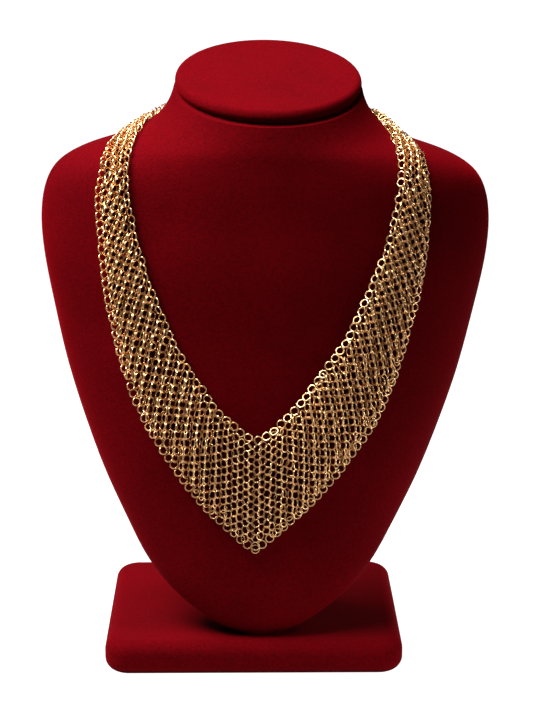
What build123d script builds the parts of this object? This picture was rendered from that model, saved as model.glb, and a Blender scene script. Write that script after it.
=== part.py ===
import math
import os

from build123d import *

# A ring-mesh necklace with a deep V front, on the velvet neck bust that holds it.
# Millimetres, +Z up, the front toward -Y, the origin at the middle of the base's underside.

# Base slab
base_width = 132.0
base_depth = 112.0
base_thickness = 15.5
base_corner = 11.0
base_edge_round = 6.0

# Bust: its axis stands on the base near the front and leans a little to the right
bust_lean = 1.2
bust_side_shift = 2.0
bust_seat_gap = 0.2
foot_setback = 16.5
shoulder_width = 201.0
chest_height = 184.0
chest_bulge = 57.0
back_bulge = 20.0
edge_setback = 52.0
neck_radius = 41.0
neck_height = 242.2
neck_setback = 50.0
neck_spare = 2.0

# Neck cap, tipped forward
cap_thickness = 5.6
cap_edge_round = 2.6
cap_tilt = 15.5
cap_seam = 0.3

# Post between the base and the back of the bust
post_width = 34.0
post_depth = 13.0
post_setback = 46.0
post_corner = 3.0
post_gap = 0.3

# Necklace: a V of ring mesh in front, a narrow strip of it behind the neck
mesh_thickness = 2.0
mesh_gap = 0.3
necklace_side_shift = -1.4
side_drop = 19.7
necklace_drop = 183.0
bib_depth = 54.5
bib_reach = 72.5
strip_width = 6.5
strip_tilt = 5.0
strip_drop = 2.5
turn_length = 30.0
turn_reach = 55.0

# Clasp behind the neck
clasp_length = 11.0
clasp_radius = 2.2
clasp_end_round = 1.3
clasp_wire = 0.9
clasp_eye_radius = 1.5
clasp_gap = 0.3
clasp_lift = 0.8

# Sections of the chest, from the foot up to the widest one, as shares:
# height of chest_height, half_width of half the shoulder width, setback of edge_setback,
# front of chest_bulge, back of back_bulge
chest_sections = [
    {"height": 0.000, "half_width": 0.100, "setback": 0.00, "front": 0.12, "back": 0.30},
    {"height": 0.035, "half_width": 0.245, "setback": 0.06, "front": 0.21, "back": 0.31},
    {"height": 0.080, "half_width": 0.360, "setback": 0.13, "front": 0.32, "back": 0.33},
    {"height": 0.160, "half_width": 0.500, "setback": 0.27, "front": 0.46, "back": 0.37},
    {"height": 0.240, "half_width": 0.588, "setback": 0.40, "front": 0.58, "back": 0.42},
    {"height": 0.350, "half_width": 0.692, "setback": 0.54, "front": 0.72, "back": 0.50},
    {"height": 0.485, "half_width": 0.792, "setback": 0.66, "front": 0.84, "back": 0.60},
    {"height": 0.620, "half_width": 0.876, "setback": 0.78, "front": 0.92, "back": 0.72},
    {"height": 0.760, "half_width": 0.941, "setback": 0.89, "front": 0.98, "back": 0.85},
    {"height": 0.890, "half_width": 0.989, "setback": 0.96, "front": 1.00, "back": 1.00},
    {"height": 1.000, "half_width": 0.995, "setback": 1.00, "front": 0.97, "back": 1.20},
]

# Sections of the shoulders and the neck above that, as shares:
# rise of the way from the widest section to the neck's top,
# spread, front and back of the way from the neck's round section to the widest one
neck_sections = [
    {"rise": 0.125, "spread": 0.965, "front": 0.90, "back": 0.90},
    {"rise": 0.230, "spread": 0.890, "front": 0.80, "back": 0.78},
    {"rise": 0.315, "spread": 0.750, "front": 0.70, "back": 0.64},
    {"rise": 0.380, "spread": 0.560, "front": 0.62, "back": 0.50},
    {"rise": 0.435, "spread": 0.350, "front": 0.52, "back": 0.36},
    {"rise": 0.510, "spread": 0.180, "front": 0.38, "back": 0.20},
    {"rise": 0.620, "spread": 0.060, "front": 0.18, "back": 0.06},
    {"rise": 0.760, "spread": 0.005, "front": 0.04, "back": 0.00},
    {"rise": 1.000, "spread": 0.000, "front": 0.00, "back": 0.00},
]

# Edges of the necklace's front, from its lowest rows up to the side of the neck, as shares:
# fall below the side of the neck, of the edge's whole drop, reach of bib_reach from the middle
outer_edge = [
    {"fall": 0.891, "reach": 0.312},
    {"fall": 0.728, "reach": 0.643},
    {"fall": 0.510, "reach": 0.869},
    {"fall": 0.291, "reach": 0.978},
    {"fall": 0.178, "reach": 1.000},
    {"fall": 0.101, "reach": 0.975},
    {"fall": 0.052, "reach": 0.900},
    {"fall": 0.015, "reach": 0.756},
]
inner_edge = [
    {"fall": 0.882, "reach": 0.244},
    {"fall": 0.725, "reach": 0.433},
    {"fall": 0.570, "reach": 0.581},
    {"fall": 0.414, "reach": 0.686},
    {"fall": 0.258, "reach": 0.763},
    {"fall": 0.128, "reach": 0.793},
    {"fall": 0.058, "reach": 0.780},
    {"fall": 0.015, "reach": 0.720},
]

# The bust's own frame: its foot on the base, its axis leaning
lean = math.radians(bust_lean)
tilt = math.radians(cap_tilt)
strip_rise = math.radians(strip_tilt)
foot_lift = bust_seat_gap + chest_sections[0]["half_width"] * shoulder_width / 2 * math.tan(lean)
foot = Vector(bust_side_shift, 0, base_thickness + foot_lift)
stand = Plane(
    origin=foot,
    x_dir=(math.cos(lean), 0, -math.sin(lean)),
    z_dir=(math.sin(lean), 0, math.cos(lean)),
)
foot_y = foot_setback - base_depth / 2
shoulder_half = shoulder_width / 2
neck_y = foot_y + neck_setback
neck_top = neck_height + neck_radius * math.tan(tilt) + neck_spare


def section_sizes():
    """Height, half width, edge place, front depth and back depth of each section."""
    rows = []
    for share in chest_sections:
        rows.append((
            share["height"] * chest_height,
            share["half_width"] * shoulder_half,
            foot_y + share["setback"] * edge_setback,
            share["front"] * chest_bulge,
            share["back"] * back_bulge,
        ))
    widest_height, widest_half, widest_y, widest_front, widest_back = rows[-1]
    for share in neck_sections:
        rows.append((
            widest_height + share["rise"] * (neck_top - widest_height),
            neck_radius + share["spread"] * (widest_half - neck_radius),
            neck_y + share["spread"] * (widest_y - neck_y),
            neck_radius + share["front"] * (widest_front - neck_radius),
            neck_radius + share["back"] * (widest_back - neck_radius),
        ))
    return rows


def back_depth(height):
    """How far the bust reaches behind its side edges at a height."""
    rows = section_sizes()
    for low, high in zip(rows, rows[1:]):
        if low[0] <= height <= high[0]:
            share = (height - low[0]) / (high[0] - low[0])
            return low[4] + share * (high[4] - low[4])
    return neck_radius


def bust_form(grow, mode=Mode.ADD):
    """The chest and neck as a loft, grown sideways by a given thickness."""
    faces = []
    for height, half_width, edge_y, front, back in section_sizes():
        with BuildSketch(stand.offset(height)) as section:
            with BuildLine():
                EllipticalCenterArc((0, edge_y), half_width + grow, front + grow, 180, arc_size=180)
                EllipticalCenterArc((0, edge_y), half_width + grow, back + grow, 0, arc_size=180)
            make_face()
        faces.append(section.sketch.face())
    loft(sections=faces, mode=mode)


os.makedirs("parts", exist_ok=True)

# Base
with BuildPart() as base:
    with BuildSketch():
        RectangleRounded(base_width, base_depth, base_corner)
    extrude(amount=base_thickness)
    fillet(base.faces().filter_by(Axis.Z).edges(), radius=base_edge_round)

# Bust, cut off under the cap along the cap's tilt
cap_plane = Plane(
    origin=stand.from_local_coords(Vector(0, neck_y, neck_height)),
    x_dir=stand.x_dir,
    z_dir=stand.from_local_coords(Vector(0, -math.sin(tilt), math.cos(tilt))) - foot,
)
with BuildPart() as bust:
    bust_form(0)
    split(bisect_by=cap_plane.offset(-cap_thickness - cap_seam), keep=Keep.BOTTOM)

# Neck cap, the top of the same form with a soft rim, flush with the neck
with BuildPart() as neck_cap:
    bust_form(0)
    split(bisect_by=cap_plane.offset(-cap_thickness), keep=Keep.TOP)
    split(bisect_by=cap_plane, keep=Keep.BOTTOM)
    fillet(neck_cap.faces().sort_by(Axis(cap_plane.origin, cap_plane.z_dir))[-1].edges(), radius=cap_edge_round)

# Post, let in against the back of the bust
with BuildPart() as post:
    with BuildSketch(Plane.XY.offset(base_thickness)):
        with Locations((bust_side_shift, foot_y + post_setback - post_depth / 2)):
            RectangleRounded(post_width, post_depth, post_corner)
    extrude(amount=chest_height)
    bust_form(post_gap, mode=Mode.SUBTRACT)

# Ring mesh: a shell that follows the bust, kept inside the necklace's outline
side_height = neck_height - side_drop
strip_plane = Plane(
    origin=stand.from_local_coords(Vector(0, neck_y, side_height - strip_drop)),
    x_dir=stand.x_dir,
    z_dir=stand.from_local_coords(Vector(0, -math.sin(strip_rise), math.cos(strip_rise))) - foot,
)
front_plane = Plane(
    origin=stand.from_local_coords(Vector(necklace_side_shift, neck_y, 0)),
    x_dir=stand.x_dir,
    z_dir=-stand.y_dir,
)
side_plane = Plane(
    origin=strip_plane.origin,
    x_dir=stand.x_dir,
    z_dir=stand.from_local_coords(Vector(0, -necklace_drop, neck_y - foot_y)) - foot,
)
inner_drop = necklace_drop - bib_depth
past_all = 2 * shoulder_width


def edge_points(rows, drop):
    """Points of one edge, from its lowest one up, on the right."""
    points = [(0, side_height - drop)]
    for row in rows:
        points.append((row["reach"] * bib_reach, side_height - row["fall"] * drop))
    return points


outer_points = edge_points(outer_edge, necklace_drop)
inner_points = edge_points(inner_edge, inner_drop)
side_points = [(x + strip_width / 2, y + strip_width / 2) for x, y in (outer_points[-1], inner_points[-1])]
# Seen from above, the band turns in toward the neck along this slant
turn_points = [
    (bib_reach, neck_y - turn_length),
    (turn_reach, neck_y),
    (past_all, neck_y),
    (past_all, neck_y - turn_length),
]
with BuildPart() as outline:
    with BuildSketch(front_plane):
        with BuildLine():
            Spline(*outer_points)
            Polyline(outer_points[-1], *side_points, inner_points[-1])
            Spline(*inner_points)
            Line(inner_points[0], outer_points[0])
        make_face()
        mirror(about=Plane.YZ)
    extrude(amount=past_all)
    split(bisect_by=side_plane, keep=Keep.TOP)
    with BuildSketch(stand):
        with BuildLine():
            Polyline(*turn_points, close=True)
        make_face()
        mirror(about=Plane.YZ)
    extrude(amount=past_all, mode=Mode.SUBTRACT)
    with BuildSketch(strip_plane.offset(-strip_width / 2)):
        with Locations((0, past_all / 2 - strip_width)):
            Rectangle(past_all, past_all)
    extrude(amount=strip_width)
eye_reach = clasp_length / 2 + 2 * clasp_eye_radius + clasp_wire / 2
with BuildPart() as mesh_band:
    bust_form(mesh_gap + mesh_thickness)
    bust_form(mesh_gap, mode=Mode.SUBTRACT)
    add(outline.part, mode=Mode.INTERSECT)
    with BuildSketch(strip_plane):
        with Locations((0, past_all / 2)):
            Rectangle(2 * (eye_reach + clasp_gap), past_all)
    extrude(amount=strip_width, both=True, mode=Mode.SUBTRACT)

# Clasp, a plain barrel with an eye at each end
clasp_height = side_height - strip_drop + neck_radius * math.tan(strip_rise)
clasp_centre = Vector(0, back_depth(clasp_height) / math.cos(strip_rise) + clasp_lift + clasp_radius, 0)
clasp_plane = Plane(
    origin=strip_plane.from_local_coords(clasp_centre),
    x_dir=stand.x_dir,
    z_dir=strip_plane.z_dir,
)
with BuildPart() as clasp:
    with BuildSketch(Plane(origin=clasp_plane.origin, x_dir=clasp_plane.y_dir, z_dir=clasp_plane.x_dir)):
        Circle(clasp_radius)
    extrude(amount=clasp_length / 2, both=True)
    fillet(clasp.edges(), radius=clasp_end_round)
    for eye_x in (-clasp_length / 2 - clasp_eye_radius, clasp_length / 2 + clasp_eye_radius):
        eye_centre = clasp_plane.from_local_coords(Vector(eye_x, 0, 0))
        with Locations(Plane(origin=eye_centre, x_dir=clasp_plane.x_dir, z_dir=clasp_plane.y_dir)):
            Torus(clasp_eye_radius, clasp_wire / 2)

base.part.label = "base"
export_step(base.part, "parts/base.step")
post.part.label = "post"
export_step(post.part, "parts/post.step")
bust.part.label = "bust"
export_step(bust.part, "parts/bust.step")
neck_cap.part.label = "neck_cap"
export_step(neck_cap.part, "parts/neck_cap.step")
mesh_band.part.label = "mesh_band"
export_step(mesh_band.part, "parts/mesh_band.step")
clasp.part.label = "clasp"
export_step(clasp.part, "parts/clasp.step")
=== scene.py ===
import math

import bpy
import numpy as np
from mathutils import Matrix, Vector
from mathutils.bvhtree import BVHTree


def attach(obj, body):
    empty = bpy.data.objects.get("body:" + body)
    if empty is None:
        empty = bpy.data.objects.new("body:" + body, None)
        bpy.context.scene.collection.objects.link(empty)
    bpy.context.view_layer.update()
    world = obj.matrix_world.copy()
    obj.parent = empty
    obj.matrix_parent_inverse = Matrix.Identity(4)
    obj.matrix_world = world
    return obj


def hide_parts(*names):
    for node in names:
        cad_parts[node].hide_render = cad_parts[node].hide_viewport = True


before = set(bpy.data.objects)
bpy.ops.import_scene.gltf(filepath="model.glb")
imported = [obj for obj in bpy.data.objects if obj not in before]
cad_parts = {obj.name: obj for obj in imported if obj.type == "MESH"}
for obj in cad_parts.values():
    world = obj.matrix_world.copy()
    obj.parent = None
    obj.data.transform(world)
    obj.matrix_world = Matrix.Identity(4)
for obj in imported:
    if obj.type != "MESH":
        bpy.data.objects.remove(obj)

# A gold ring-mesh necklace on a red velvet neck bust.
# Blender works in metres; the necklace's own sizes are in millimetres and pass through mm.
mm = 0.001
scene = bpy.context.scene
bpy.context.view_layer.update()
print("frame loaded:", ", ".join(sorted(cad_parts)))


# Camera at the photograph's angle
viewpoint = {
    "place": (-0.0032, -0.9055, 0.356),
    "tipDown": 13.9,  # degrees below level
    "turn": -0.587,  # degrees about the vertical
    "focalPixels": 2068,
    "frameHeight": 711,
    "sensorHeight": 36,
}


def addCamera():
    lens = bpy.data.cameras.new("camera")
    lens.sensor_fit = "VERTICAL"
    lens.sensor_height = viewpoint["sensorHeight"]
    lens.lens = viewpoint["sensorHeight"] * viewpoint["focalPixels"] / viewpoint["frameHeight"]
    camera = bpy.data.objects.new("camera", lens)
    camera.location = viewpoint["place"]
    tilt, turn = math.radians(90 - viewpoint["tipDown"]), math.radians(viewpoint["turn"])
    camera.rotation_euler = (tilt, 0, turn)
    scene.collection.objects.link(camera)
    scene.camera = camera


addCamera()
print("camera placed")


# Studio: a glowing white sweep behind, a plain pale floor all round, a large soft light
# high at the left and a small weak one low at the right
studio = {
    "surround": 0.05,
    "sweepLeft": (-0.24, -0.40, -0.40),  # at its front edge, at the bend and at its top
    "sweepRight": (0.45, 0.45, 0.45),
    "sweepAway": (-0.14, 1.8, 1.8),
    "sweepHeight": (0, 0, 1.2),
    "sweepGlow": 1.1,
    "sweepGrey": 0.12,
    "floorHalf": 3.0,
    "floorGrey": 0.14,
    "floorDrop": 0.0015,
    "paperRoughness": 0.9,
    "lights": [
        {"name": "overheadLight", "place": (-0.42, -0.04, 0.98), "aim": (0, 0, 0.17),
         "size": 0.72, "spread": 60, "power": 5.4},
        {"name": "sideLight", "place": (0.62, -0.12, 0.14), "aim": (0.05, 0, 0.03),
         "size": 0.3, "spread": 32, "power": 0.12},
    ],
}


def addSoftLight(name, place, aim, size, spread, power):
    lamp = bpy.data.lights.new(name, "AREA")
    lamp.shape = "DISK"
    lamp.size = size
    lamp.spread = math.radians(spread)
    lamp.energy = power
    light = bpy.data.objects.new(name, lamp)
    light.location = place
    light.rotation_euler = (Vector(aim) - Vector(place)).to_track_quat("-Z", "Y").to_euler()
    scene.collection.objects.link(light)


def addStage(name, corners, faces, grey, glow):
    mesh = bpy.data.meshes.new(name)
    mesh.from_pydata(corners, [], faces)
    stage = bpy.data.objects.new(name, mesh)
    scene.collection.objects.link(stage)
    paper = bpy.data.materials.new(name + "Paper")
    paper.use_nodes = True
    shader = paper.node_tree.nodes["Principled BSDF"]
    shader.inputs["Base Color"].default_value = (grey, grey, grey, 1)
    shader.inputs["Roughness"].default_value = studio["paperRoughness"]
    shader.inputs["Emission Color"].default_value = (1, 1, 1, 1)
    shader.inputs["Emission Strength"].default_value = glow
    mesh.materials.append(paper)


def addStudio():
    world = bpy.data.worlds.new("studio")
    world.use_nodes = True
    surround = world.node_tree.nodes["Background"]
    surround.inputs["Strength"].default_value = studio["surround"]
    surround.inputs["Color"].default_value = (1, 1, 1, 1)
    scene.world = world
    scene.view_settings.view_transform = "Standard"
    for light in studio["lights"]:
        addSoftLight(**light)
    rows = zip(studio["sweepLeft"], studio["sweepRight"], studio["sweepAway"], studio["sweepHeight"])
    corners = [(x, y, z) for left, right, y, z in rows for x in (left, right)]
    addStage("sweep", corners, [(0, 1, 3, 2), (2, 3, 5, 4)], studio["sweepGrey"], studio["sweepGlow"])
    half, low = studio["floorHalf"], -studio["floorDrop"]
    corners = [(x, y, low) for x, y in ((-half, -half), (half, -half), (half, half), (-half, half))]
    addStage("floor", corners, [(0, 1, 2, 3)], studio["floorGrey"], 0.0)


addStudio()
print("studio lit")


# Shader tools: a Wire is a socket that takes arithmetic, a Recipe adds nodes to one material
class Wire:
    def __init__(self, recipe, socket):
        self.recipe = recipe
        self.socket = socket

    def maths(self, operation, first, second):
        return self.recipe.node("ShaderNodeMath", {"operation": operation}, {0: first, 1: second})

    def __add__(self, other):
        return self.maths("ADD", self, other)

    def __radd__(self, other):
        return self.maths("ADD", other, self)

    def __mul__(self, other):
        return self.maths("MULTIPLY", self, other)

    def __rmul__(self, other):
        return self.maths("MULTIPLY", other, self)


class Recipe:
    def __init__(self, name, **constants):
        self.material = bpy.data.materials.new(name)
        self.material.use_nodes = True
        self.tree = self.material.node_tree
        self.shader = self.tree.nodes["Principled BSDF"]
        for socket, value in constants.items():
            self.shader.inputs[socket.replace("_", " ")].default_value = value
        self.place = self.node("ShaderNodeTexCoord", output="Object")

    def feed(self, socket, value):
        if isinstance(value, Wire):
            self.tree.links.new(value.socket, socket)
        else:
            socket.default_value = value

    def node(self, kind, settings=None, sockets=None, output=0):
        node = self.tree.nodes.new(kind)
        for name, value in (settings or {}).items():
            setattr(node, name, value)
        for key, value in (sockets or {}).items():
            self.feed(node.inputs[key], value)
        return Wire(self, node.outputs[output])

    def noise(self, scale, detail, roughness=0.5, distortion=0.0):
        sockets = {
            "Vector": self.place, "Scale": scale, "Detail": detail,
            "Roughness": roughness, "Distortion": distortion,
        }
        return self.node("ShaderNodeTexNoise", None, sockets)

    def spread(self, value, low, high, fromLow=0.0, fromHigh=1.0):
        sockets = {0: value, 1: fromLow, 2: fromHigh, 3: low, 4: high}
        return self.node("ShaderNodeMapRange", None, sockets)

    def blend(self, share, first, second):
        first, second = (
            colour if isinstance(colour, Wire) else (*colour, 1) for colour in (first, second)
        )
        sockets = {0: share, 6: first, 7: second}
        return self.node("ShaderNodeMix", {"data_type": "RGBA"}, sockets, 2)

    def bump(self, height, strength, distance):
        sockets = {"Strength": strength, "Distance": distance, "Height": height}
        return self.node("ShaderNodeBump", None, sockets)

    def paint(self, **wires):
        for socket, value in wires.items():
            self.feed(self.shader.inputs[socket.replace("_", " ")], value)
        return self.material


# Velvet: deep red pile with a brushed, slightly uneven nap, a red sheen at grazing angles and painted
# shade under the mesh
velvet = {
    "brightness": {"base": 1.0, "post": 0.9, "bust": 1.0, "neck_cap": 1.1},
    "deep": (0.064, 0.0004, 0.0015),
    "lit": (0.114, 0.0007, 0.0026),
    "sheen": 0.16,
    "sheenTint": (0.95, 0.004, 0.014, 1),
    "sheenRoughness": 0.4,
    "gloss": 0.01,
    "roughness": (0.78, 0.96),
    "pileScale": 1900,
    "pileDetail": 1.0,
    "napScale": 900,
    "napDetail": 2.0,
    "napRoughness": 0.6,
    "brushScale": 26,
    "brushDetail": 3.0,
    "brushCurl": 0.6,
    "toneShares": (0.2, 0.5, 0.3),  # of the pile, the nap and the brushing
    "toneRange": (0.36, 0.64),
    "reliefShares": (0.4, 0.6),  # of the pile and the nap
    "relief": 0.6,
    "pileHeight": 0.00035,
    "paintedShade": (0.006, 0.0001, 0.0003),  # painted shade under the mesh and in creases near it, from ambient occlusion
    "paintedShadeWithin": 0.004,
    "paintedShadeRange": (0.4, 0.85),
    "paintedShadeBelow": (0.228, 0.237),  # painted shade only below these heights; none by the cap's seam
    "paintedShadeSamples": 6,
}


def makeVelvet(name, brightness):
    recipe = Recipe(
        name,
        Sheen_Weight=velvet["sheen"],
        Sheen_Roughness=velvet["sheenRoughness"],
        Sheen_Tint=velvet["sheenTint"],
        Specular_IOR_Level=velvet["gloss"],
    )
    pile = recipe.noise(velvet["pileScale"], velvet["pileDetail"])
    brushed = recipe.noise(velvet["brushScale"], velvet["brushDetail"], distortion=velvet["brushCurl"])
    nap = recipe.noise(velvet["napScale"], velvet["napDetail"], velvet["napRoughness"])

    pileShare, napShare, brushedShare = velvet["toneShares"]
    mixed = pile * pileShare + nap * napShare + brushed * brushedShare
    tone = recipe.spread(mixed, 0.0, 1.0, *velvet["toneRange"])
    deep = [value * brightness for value in velvet["deep"]]
    lit = [value * brightness for value in velvet["lit"]]

    # painted shade: how open the velvet is to what lies near it, by ambient occlusion, everywhere below
    # the cap's seam
    samples, within = {"samples": velvet["paintedShadeSamples"]}, {"Distance": velvet["paintedShadeWithin"]}
    unshaded = recipe.node("ShaderNodeAmbientOcclusion", samples, within, 1)
    height = recipe.node("ShaderNodeSeparateXYZ", None, {0: recipe.place}, 2)
    unshaded = (recipe.spread(unshaded, 0.0, 1.0, *velvet["paintedShadeRange"])
            + recipe.spread(height, 0.0, 1.0, *velvet["paintedShadeBelow"]))

    pileShare, napShare = velvet["reliefShares"]
    relief = pile * pileShare + nap * napShare
    # the colour darkens to painted shade where the velvet is occluded
    return recipe.paint(
        Base_Color=recipe.blend(unshaded, velvet["paintedShade"], recipe.blend(tone, deep, lit)),
        Roughness=recipe.spread(brushed, *velvet["roughness"]),
        Normal=recipe.bump(relief, velvet["relief"], velvet["pileHeight"]),
    )


def dressVelvet():
    for node, brightness in velvet["brightness"].items():
        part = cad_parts[node]
        part.data.materials.clear()
        part.data.materials.append(makeVelvet(node + "Velvet", brightness))


dressVelvet()
print("velvet on the base, post, bust and cap")


# Gold wire: bright plating under a thin lacquer, duller where it is worn, with fine scratches
gold = {
    "bright": (1.0, 0.63, 0.30),
    "worn": (0.82, 0.45, 0.18),
    "smooth": 0.2,
    "dull": 0.32,
    "lacquer": 0.4,
    "lacquerRoughness": 0.12,
    "metal": 0.8,
    "toneScale": 210,
    "toneDetail": 2.0,
    "toneRange": (0.36, 0.64),
    "scratchScale": 2600,
    "scratchDetail": 1.0,
    "scratchRelief": 0.15,
    "scratchDepth": 0.00002,
}


def makeGold():
    recipe = Recipe(
        "ringGold",
        Metallic=gold["metal"],
        Coat_Weight=gold["lacquer"],
        Coat_Roughness=gold["lacquerRoughness"],
    )
    patches = recipe.noise(gold["toneScale"], gold["toneDetail"])
    tone = recipe.spread(patches, 0.0, 1.0, *gold["toneRange"])
    scratches = recipe.noise(gold["scratchScale"], gold["scratchDetail"])
    return recipe.paint(
        Base_Color=recipe.blend(tone, gold["worn"], gold["bright"]),
        Roughness=recipe.spread(tone, gold["dull"], gold["smooth"]),
        Normal=recipe.bump(scratches, gold["scratchRelief"], gold["scratchDepth"]),
    )


goldWire = makeGold()
print("gold made")


# Ring mesh: in front the pattern lies in a plane that faces the viewer and is dropped onto the bust.
# Heights are above the bust's foot, reaches are from its leaning middle line, all in millimetres.
pattern = {
    "foot": (2.0, -39.5, 15.7),
    "lean": 1.2,
    "tipBack": 13.9,
    "castFrom": 200.0,
    "middle": -2.2,  # the mesh hangs this far left of the bust's middle line
    "top": 203.0,  # above this height the rings follow the strip round the neck
    "pastTop": 4,  # how much higher the pattern is worked out
    "step": 0.5,  # between the points of an edge's line
}
ring = {
    "outside": 4.1,
    "sizeReach": (10, 28),
    "sizes": (4.1, 4.55),  # ring size at those reaches
    "wires": (0.54, 0.68),  # and wire thickness
    "aroundSteps": 16,
    "wireSides": 6,
    "rest": 0.3,  # lowest wire above the velvet
    "foldReach": (5, 22),
    "folds": (0.6, 1.0),  # at those reaches, how far a ring turns to fit between its columns
    "apart": 1.9,  # a ring nearer to an edge or strip ring is left out
    "clearOfEdge": 2.7,
    "clearOfTip": 3,
    "strayed": 0.16,
    "leanStrayed": 8.0,
    "nodStrayed": 8.0,
    "faceViewer": 0.8,  # how far the rings keep to the pattern's plane where the bust turns away
    "faceFade": (2, 0.3),  # slope and start of that share, by how far the velvet faces the viewer
    "seed": 7,
}
bibEdge = [
    {"height": 35.2, "leftOuter": 2.5, "leftInner": 0.0, "rightOuter": -2.5, "rightInner": 0.0},
    {"height": 40.0, "leftOuter": 8.6, "leftInner": 0.0, "rightOuter": 3.6, "rightInner": 0.0},
    {"height": 50.0, "leftOuter": 20.0, "leftInner": 0.0, "rightOuter": 14.9, "rightInner": 0.0},
    {"height": 60.0, "leftOuter": 29.7, "leftInner": 0.0, "rightOuter": 24.7, "rightInner": 0.0},
    {"height": 70.0, "leftOuter": 37.4, "leftInner": 0.0, "rightOuter": 33.2, "rightInner": 0.0},
    {"height": 87.8, "leftOuter": 49.4, "leftInner": 2.5, "rightOuter": 45.8, "rightInner": -2.5},
    {"height": 90.0, "leftOuter": 50.6, "leftInner": 7.5, "rightOuter": 47.2, "rightInner": 1.3},
    {"height": 100.0, "leftOuter": 55.7, "leftInner": 18.9, "rightOuter": 52.3, "rightInner": 11.8},
    {"height": 115.0, "leftOuter": 61.2, "leftInner": 29.5, "rightOuter": 58.1, "rightInner": 22.6},
    {"height": 130.0, "leftOuter": 65.5, "leftInner": 38.1, "rightOuter": 62.3, "rightInner": 33.2},
    {"height": 150.0, "leftOuter": 69.7, "leftInner": 46.6, "rightOuter": 67.1, "rightInner": 41.8},
    {"height": 170.0, "leftOuter": 72.3, "leftInner": 53.4, "rightOuter": 69.9, "rightInner": 49.4},
    {"height": 190.0, "leftOuter": 73.7, "leftInner": 57.4, "rightOuter": 71.0, "rightInner": 53.8},
    {"height": 205.0, "leftOuter": 71.3, "leftInner": 58.0, "rightOuter": 68.7, "rightInner": 55.3},
    {"height": 215.0, "leftOuter": 66.2, "leftInner": 56.8, "rightOuter": 64.1, "rightInner": 54.5},
    {"height": 224.0, "leftOuter": 60.5, "leftInner": 54.6, "rightOuter": 58.6, "rightInner": 51.9},
]
outerTip = bibEdge[0]["height"]
innerTip = 87.8
edgePitch = {"height": (30, 100, 190), "outer": (4.0, 3.9, 3.5), "inner": (4.1, 4.1, 3.4)}
edgeLean = {"height": (60, 120, 190), "lean": (12, 34, 48)}
edgeTip = {"outerUp": 2.7, "innerDown": 2.1, "gap": 0.6}  # where the lowest ring of an edge lies

# Columns of rings run up the mesh and are counted outward; rings are counted up each column.
# Each table gives a count to the millimetre, by reach or by height.
columnsOutward = {
    "at": (0, 12, 26, 33, 40, 47, 54, 80),
    "count": (0.433, 0.42, 0.45, 0.454, 0.43, 0.50, 0.56, 0.56),
}
columnsUpward = {
    "at": (30, 70, 85, 102, 124, 145, 162, 180, 240),
    "count": (0, 0, 0.03, 0.09, 0.106, 0.167, 0.23, 0.21, 0.21),
    "fullReach": 22,  # counted in part nearer to the middle line
}
ringsUpward = {
    "at": (30, 75, 102, 124, 145, 162, 180, 240),
    "count": (0.305, 0.305, 0.289, 0.265, 0.265, 0.27, 0.27, 0.27),
}
ringsOutward = {"at": (0, 6, 12, 26, 33, 80), "count": (0.216, 0.15, 0.072, 0.013, 0, 0)}
ringsSlant = {
    "at": (30, 85, 102, 124, 145, 162, 240),
    "count": (0, 0, 0.027, 0.05, 0.10, 0.142, 0.142),
}
search = {  # how the places with whole counts are found
    "tableSteps": 500,
    "columns": (0, 62),
    "numbers": (-6, 66),
    "guessPitches": (2.0, 3.2),  # between columns and between rings
    "guessReaches": (0, 78),
    "guessHeights": (34, 236),
    "reaches": (0, 80),
    "heights": (30, 240),
    "rounds": 60,
    "share": 0.6,  # of each correction that is taken
    "small": 0.05,
    "smallest": 0.02,
    "settled": 0.05,
}

lean = math.radians(pattern["lean"])
tip = math.radians(pattern["tipBack"])
patternSide = Vector((math.cos(lean), 0, -math.sin(lean)))
upright = Vector((math.sin(lean), 0, math.cos(lean)))
patternUp = upright * math.cos(tip) + Vector((0, 1, 0)) * math.sin(tip)
patternOut = patternSide.cross(patternUp)
patternFoot = Vector(pattern["foot"])
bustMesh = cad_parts["bust"].data
bustTree = BVHTree.FromPolygons(
    [vertex.co / mm for vertex in bustMesh.vertices],
    [tuple(face.vertices) for face in bustMesh.polygons],
)
chance = np.random.default_rng(ring["seed"])


def dropOnBust(reach, height):
    start = patternFoot + patternSide * reach + patternUp * height + patternOut * pattern["castFrom"]
    place, normal = bustTree.ray_cast(start, -patternOut)[:2]
    return None if place is None else (np.array(place), np.array(normal))


def nearestOnBust(point):
    place, normal = bustTree.find_nearest(Vector(point))[:2]
    return np.array(place), np.array(normal)


def patternHeight(point):
    return (Vector(point[:3]) - patternFoot).dot(patternUp)


def edgeReach(edge, height):
    return np.interp(height, [row["height"] for row in bibEdge], [row[edge] for row in bibEdge])


def runningCount(table, at):
    # the count from a table's start up to a place
    steps = np.linspace(table["at"][0], table["at"][-1], search["tableSteps"])
    count = np.interp(steps, table["at"], table["count"])
    total = np.concatenate([[0], np.cumsum((count[1:] + count[:-1]) / 2 * np.diff(steps))])
    return np.interp(at, steps, total)


def countColumns(reach, height):
    upward = runningCount(columnsUpward, height) * np.clip(reach / columnsUpward["fullReach"], 0, 1)
    return runningCount(columnsOutward, reach) + upward


def countRings(reach, height):
    middle = (edgeReach("leftOuter", height) + edgeReach("leftInner", height)) / 2
    slant = np.interp(height, ringsSlant["at"], ringsSlant["count"])
    level = runningCount(ringsUpward, height) + runningCount(ringsOutward, reach)
    return level - slant * (reach - middle)


def rates(count, reach, height, step):
    # how fast a count grows outward and upward
    byReach = (count(reach + step, height) - count(reach - step, height)) / (2 * step)
    byHeight = (count(reach, height + step) - count(reach, height - step)) / (2 * step)
    return byReach, byHeight


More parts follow.
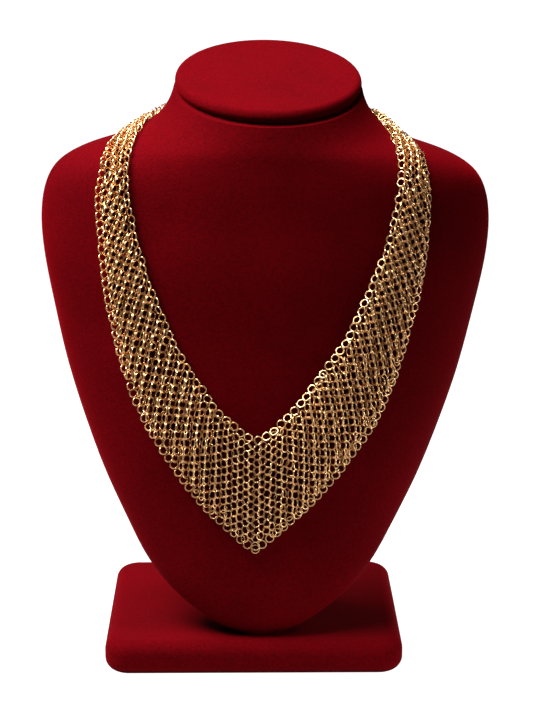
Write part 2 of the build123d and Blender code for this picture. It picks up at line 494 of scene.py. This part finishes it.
def layLattice():
    # reach and height of every ring on one side, by Newton's method from an even first guess
    grids = np.meshgrid(np.arange(*search["columns"]), np.arange(*search["numbers"]), indexing="ij")
    columns, numbers = (grid.ravel() for grid in grids)
    outward, upward = search["guessPitches"]
    reach = np.clip(columns * outward, *search["guessReaches"])
    height = np.clip(search["guessHeights"][0] + numbers * upward, *search["guessHeights"])
    for attempt in range(search["rounds"]):
        offColumn = countColumns(reach, height) - columns
        offNumber = countRings(reach, height) - numbers
        columnByReach, columnByHeight = rates(countColumns, reach, height, search["small"])
        numberByReach, numberByHeight = rates(countRings, reach, height, search["small"])
        size = columnByReach * numberByHeight - columnByHeight * numberByReach
        size = np.where(np.abs(size) < search["smallest"], search["smallest"], size)
        reachStep = search["share"] * (numberByHeight * offColumn - columnByHeight * offNumber) / size
        heightStep = search["share"] * (columnByReach * offNumber - numberByReach * offColumn) / size
        reach = np.clip(reach - reachStep, *search["reaches"])
        height = np.clip(height - heightStep, *search["heights"])
    off = np.abs(countColumns(reach, height) - columns) + np.abs(countRings(reach, height) - numbers)
    settled = off < search["settled"]
    return columns[settled], numbers[settled], reach[settled], height[settled]


def edgeLine(edge, inset):
    # the line of an edge in the pattern's plane, from its lowest point up, moved into the mesh
    outer = "Outer" in edge
    low, high = outerTip if outer else innerTip, pattern["top"] + pattern["pastTop"]
    height = np.arange(low, high, pattern["step"])
    reach = edgeReach(edge, height)
    along = np.stack([np.gradient(reach), np.gradient(height)], -1)
    along /= np.linalg.norm(along, axis=1)[:, None]
    turn = -1 if outer else 1
    return np.stack([reach + turn * inset * along[:, 1], height - turn * inset * along[:, 0]], -1)


def distancesAlong(points):
    return np.concatenate([[0], np.cumsum(np.linalg.norm(np.diff(points, axis=0), axis=1))])


def walk(points, pitch):
    # places a pitch apart along a line of points; the pitch is a function of the place
    gone = distancesAlong(points)
    at, places = 0.0, []
    while at <= gone[-1]:
        place = np.array([np.interp(at, gone, points[:, axis]) for axis in range(points.shape[1])])
        places.append(place)
        at += pitch(place)
    return np.array(places)


def unit(vectors):
    return vectors / np.linalg.norm(vectors, axis=-1, keepdims=True)


def viewerFacing(normal):
    # where a ring faces: between the velvet's own normal and the pattern's plane
    slope, start = ring["faceFade"]
    share = ring["faceViewer"] * np.clip(slope * normal.dot(patternOut) + start, 0, 1)
    return normal * (1 - share) + np.array(patternOut) * share


def nearestOf(places, place):
    return np.linalg.norm(places - np.array(place), axis=1).min()


class RingBag:
    # rings laid so far: place on the velvet, upward direction, outward normal, turn in degrees and size
    def __init__(self):
        self.rings = []

    def places(self):
        return np.array([one["place"] for one in self.rings])

    def add(self, place, up, normal, turn, apart=0.0, size=ring["outside"]):
        if apart and self.rings and nearestOf(self.places(), place) < apart:
            return
        facing = viewerFacing(normal)
        self.rings.append(
            {"place": place, "up": up, "normal": normal, "facing": facing, "turn": turn, "size": size}
        )


def layEdges(bag, side, edges):
    for edge in edges:
        outer = "Outer" in edge

        def pitch(place):
            return np.interp(place[1], edgePitch["height"], edgePitch["outer" if outer else "inner"])

        line = edgeLine(edge, ring["outside"] / 2)
        tipReach = pattern["middle"] * side
        tipHeight = outerTip + edgeTip["outerUp"] if outer else innerTip - edgeTip["innerDown"]
        line = line[line[:, 0] > tipReach + edgeTip["gap"]]
        line = np.concatenate([[[tipReach, tipHeight]], line])
        places = walk(line[line[:, 1] <= pattern["top"]], pitch)
        for number, (reach, height) in enumerate(places):
            if number == 0 and side == 1:
                continue  # both sides share the lowest ring
            before, after = places[max(number - 1, 0)], places[min(number + 1, len(places) - 1)]
            place, normal = dropOnBust(side * reach, height)
            ahead, behind = (dropOnBust(side * spot[0], spot[1])[0] for spot in (after, before))
            turn = np.interp(height, edgeLean["height"], edgeLean["lean"]) * (1 if outer else -1)
            bag.add(place, ahead - behind, normal, turn)


def columnFold(reach, height, size):
    # how many degrees a ring turns so that its two sides lie over its neighbours' sides
    pitch = 1 / math.hypot(*rates(countColumns, reach, height, pattern["step"]))
    fold = math.degrees(math.acos(min(pitch / (size - ring["wires"][0]), 1.0)))
    return fold * np.interp(reach, ring["foldReach"], ring["folds"])


def layFront(bag, side, edges, lattice):
    outer, inner = edges
    lines = np.concatenate([edgeLine(outer, 0), edgeLine(inner, 0)])
    spots = {}
    for column, number, reach, height in zip(*lattice):
        if side == 1 and column == 0:
            continue  # both sides share the middle column
        x = reach + side * pattern["middle"]
        clear = nearestOf(lines, (x, height))
        inside = x < edgeReach(outer, height) and (height < innerTip or x > edgeReach(inner, height))
        if inside and height < pattern["top"] + pattern["pastTop"]:
            spot = dropOnBust(side * x, height)
            if spot is not None:
                spots[(column, number)] = (*spot, clear, reach, height)
    laid = bag.places()  # the edges and the strip
    for (column, number), (place, normal, clear, reach, height) in spots.items():
        if clear < ring["clearOfEdge"] or not outerTip + ring["clearOfTip"] < height < pattern["top"]:
            continue
        if nearestOf(laid, place) < ring["apart"]:
            continue
        above = spots.get((column, number + 1), spots[(column, number)])
        below = spots.get((column, number - 1), spots[(column, number)])
        up = above[0] - below[0]
        if not up.any():  # no other ring above or below it
            up = np.array(patternUp)
        size = np.interp(reach, ring["sizeReach"], ring["sizes"])
        turn = columnFold(reach, height, size) * (1 if column % 2 else -1)
        bag.add(place, up, normal, turn, size=size)


# The strip goes on from the top of the front, over the neck's side and round it to the clasp
strip = {
    "heights": (192, 198, 204, 210, 214, 218),
    "neck": (2.0, 10.5, 236.0),  # middle of the neck where the strip goes round it
    "neckReach": 41.0,  # first guess at the neck's radius there
    "neckRounds": 5,
    "rise": 5.0,
    "leftAngles": (172, 160, 148, 135, 120, 108, 101),
    "rightAngles": (8, 20, 32, 46, 58, 67),
    "width": 7.4,
    "step": 0.5,
    "smooth": 12,  # steps either way
    "startBelow": 2,  # overlap with the front
    "column": 1.7,
    "columns": (1, 10),
    "pitch": 3.2,
    "longest": 60,
    "lean": 52,
    "edgeLean": 42,
    "edgeApart": 1.8,
    "apart": 1.4,
    "clearOfEdge": 1.2,
    "linkSize": 5.2,  # the ring that joins each end to an eye of the clasp
    "linkLean": 80,
}


def neckPlace(angle):
    # where the strip's plane meets the bust, at an angle about the neck
    centre = Vector(strip["neck"])
    out = Vector((math.cos(math.radians(angle)), math.sin(math.radians(angle)), 0))
    reach = strip["neckReach"]
    for attempt in range(strip["neckRounds"]):
        start = centre + Vector((0, 0, reach * out.y * math.tan(math.radians(strip["rise"]))))
        place = bustTree.ray_cast(start, out)[0]
        reach = (place - start).length
    return np.array(place)


def stripLine(side, edges, angles):
    # middle line of the strip and its width, from the front up over the neck's side to the clasp
    points, widths = [], []
    for height in strip["heights"]:
        outer, inner = (dropOnBust(side * edgeReach(edge, height), height)[0] for edge in edges)
        points.append(nearestOnBust((outer + inner) / 2)[0])
        widths.append(np.linalg.norm(outer - inner))
    for angle in angles:
        points.append(neckPlace(angle))
        widths.append(strip["width"])
    rough = np.column_stack([points, widths])
    gone = distancesAlong(rough[:, :3])
    even = np.arange(0, gone[-1], strip["step"])
    line = np.stack([np.interp(even, gone, rough[:, axis]) for axis in range(4)], -1)
    spread = strip["smooth"]
    padded = np.pad(line, ((spread, spread), (0, 0)), mode="reflect", reflect_type="odd")
    kernel = np.ones(2 * spread + 1) / (2 * spread + 1)
    return np.stack([np.convolve(padded[:, axis], kernel, mode="valid") for axis in range(4)], -1)


def layStrip(bag, side, edges, angles):
    line = stripLine(side, edges, angles)
    tangents = unit(np.gradient(line[:, :3], axis=0))
    gone = np.arange(len(line)) * strip["step"]
    low = pattern["top"] - strip["startBelow"]
    start = gone[next(index for index, point in enumerate(line) if patternHeight(point) > low)]

    def spotAt(at, across):
        # across counts from the strip's inner edge; the last value is what is left to its outer edge
        point = np.array([np.interp(at, gone, line[:, axis]) for axis in range(4)])
        tangent = unit(np.array([np.interp(at, gone, tangents[:, axis]) for axis in range(3)]))
        normal = nearestOnBust(point[:3])[1]
        outward = unit(np.cross(tangent, normal)) * side
        span = point[3] - ring["outside"]
        place, normal = nearestOnBust(point[:3] + outward * (across - span / 2))
        return place, tangent, normal, span - across

    number = 0
    while start + number * strip["pitch"] < gone[-1]:
        at = start + number * strip["pitch"]
        place, up, normal, left = spotAt(at, 0)
        bag.add(place, up, normal, -strip["edgeLean"], strip["edgeApart"])
        place, up, normal, left = spotAt(at, left)
        bag.add(place, up, normal, strip["edgeLean"], strip["edgeApart"])
        number += 1
    for column in range(*strip["columns"]):
        for number in range(strip["longest"]):
            at = start + (number + 0.5 * (column % 2)) * strip["pitch"]
            if at < gone[-1]:
                place, up, normal, left = spotAt(at, column * strip["column"])
                if left > strip["clearOfEdge"]:
                    turn = strip["lean"] * (1 if column % 2 else -1)
                    bag.add(place, up, normal, turn, strip["apart"])


def layLink(bag, point):
    # one nearly level ring through an eye of the clasp
    place, normal = nearestOnBust(point)
    bag.add(place, np.array((1.0, 0, 0)), normal, strip["linkLean"], size=strip["linkSize"])


def ringMesh(name, rings):
    steps, sides, count = ring["aroundSteps"], ring["wireSides"], len(rings)
    around = np.arange(steps) * 2 * math.pi / steps
    about = np.arange(sides) * 2 * math.pi / sides
    around, about = (grid.ravel() for grid in np.meshgrid(around, about, indexing="ij"))
    places, ups, outs, normals, turns, sizes = (
        np.array([one[part] for one in rings])
        for part in ("place", "up", "normal", "facing", "turn", "size")
    )
    sizes = sizes[:, None]
    wire = np.interp(np.abs(places[:, :1]), ring["sizeReach"], ring["wires"]) / 2
    out = sizes / 2 - wire + wire * np.cos(about)
    local = np.stack([out * np.cos(around), out * np.sin(around), wire * np.sin(about)], -1)

    # each ring rests on the velvet on its lowest wire and strays a little
    normals = unit(normals)
    leans = np.radians(turns + chance.normal(0, ring["leanStrayed"], count))
    nods = np.radians(chance.normal(0, ring["nodStrayed"], count))[:, None]
    alongs = unit(np.cross(ups, normals))
    ups = unit(np.cross(normals, alongs))
    lift = ring["rest"] + sizes[:, 0] / 2 * np.abs(np.sin(leans))
    strayed = chance.normal(0, ring["strayed"], (count, 2))
    centres = places + outs * lift[:, None] + alongs * strayed[:, :1] + ups * strayed[:, 1:]
    nodCos, nodSin = np.cos(nods), np.sin(nods)
    ups, normals = ups * nodCos + normals * nodSin, normals * nodCos - ups * nodSin
    cos, sin = np.cos(leans)[:, None], np.sin(leans)[:, None]
    flat, facing = alongs * cos - normals * sin, normals * cos + alongs * sin
    points = centres[:, None] + sum(
        local[:, :, axis:axis + 1] * direction[:, None]
        for axis, direction in enumerate((flat, ups, facing))
    )

    def corner(step, edge):
        return ((step % steps) * sides + edge % sides).ravel()

    i, j = np.meshgrid(np.arange(steps), np.arange(sides), indexing="ij")
    quads = np.stack([corner(i, j), corner(i + 1, j), corner(i + 1, j + 1), corner(i, j + 1)], -1)
    faces = (np.arange(count)[:, None, None] * steps * sides + quads[None]).reshape(-1, 4)
    mesh = bpy.data.meshes.new(name)
    mesh.from_pydata((points.reshape(-1, 3) * mm).tolist(), [], faces.tolist())
    mesh.polygons.foreach_set("use_smooth", [True] * len(mesh.polygons))
    mesh.materials.append(goldWire)
    piece = bpy.data.objects.new(name, mesh)
    scene.collection.objects.link(piece)
    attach(piece, "root")
    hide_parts("mesh_band")
    print(name, "rings:", count)


halves = [
    {"name": "meshLeft", "side": -1, "edges": ("leftOuter", "leftInner"),
     "angles": strip["leftAngles"], "link": (-3.4, 52, 239.5)},
    {"name": "meshRight", "side": 1, "edges": ("rightOuter", "rightInner"),
     "angles": strip["rightAngles"], "link": (16.7, 52, 239.5)},
]
lattice = layLattice()
for half in halves:
    bag = RingBag()
    layEdges(bag, half["side"], half["edges"])
    layStrip(bag, half["side"], half["edges"], half["angles"])
    layFront(bag, half["side"], half["edges"], lattice)
    layLink(bag, half["link"])
    ringMesh(half["name"], bag.rings)


# A roll of velvet fills the seam under the neck cap, whose underside gives its outline
seam = {
    "thick": 0.8,
    "below": 0.15,
    "inward": 0.15,
    "everyPoint": 8,
    "roundness": 2,
    "facingDown": -0.9,  # a face whose normal points further down is part of the underside
}


def addSeam():
    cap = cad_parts["neck_cap"].data
    under = [face for face in cap.polygons if face.normal.z < seam["facingDown"]]
    down = sum((face.normal for face in under), Vector()).normalized()
    corners = {cap.vertices[index].co.to_tuple(5) for face in under for index in face.vertices}
    middle = sum((Vector(corner) for corner in corners), Vector()) / len(corners)

    def bearing(corner):
        return math.atan2(corner[1] - middle.y, corner[0] - middle.x)

    outline = [Vector(corner) for corner in sorted(corners, key=bearing)[::seam["everyPoint"]]]
    curve = bpy.data.curves.new("seamLine", "CURVE")
    curve.dimensions = "3D"
    curve.bevel_depth = seam["thick"] / 2 * mm
    curve.bevel_resolution = seam["roundness"]
    spline = curve.splines.new("POLY")
    spline.points.add(len(outline) - 1)
    for point, corner in zip(spline.points, outline):
        inward = (middle - corner).normalized()
        corner = corner + down * seam["below"] * mm + inward * seam["inward"] * mm
        point.co = (*corner, 1)
    spline.use_cyclic_u = True
    mesh = bpy.data.meshes.new_from_object(bpy.data.objects.new("seamLine", curve))
    mesh.materials.clear()
    mesh.materials.append(cap.materials[0])
    piece = bpy.data.objects.new("capSeam", mesh)
    scene.collection.objects.link(piece)
    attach(piece, "root")
    print("seam outline points:", len(outline))


addSeam()

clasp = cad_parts["clasp"]
clasp.data.materials.clear()
clasp.data.materials.append(goldWire)
print("clasp in gold")
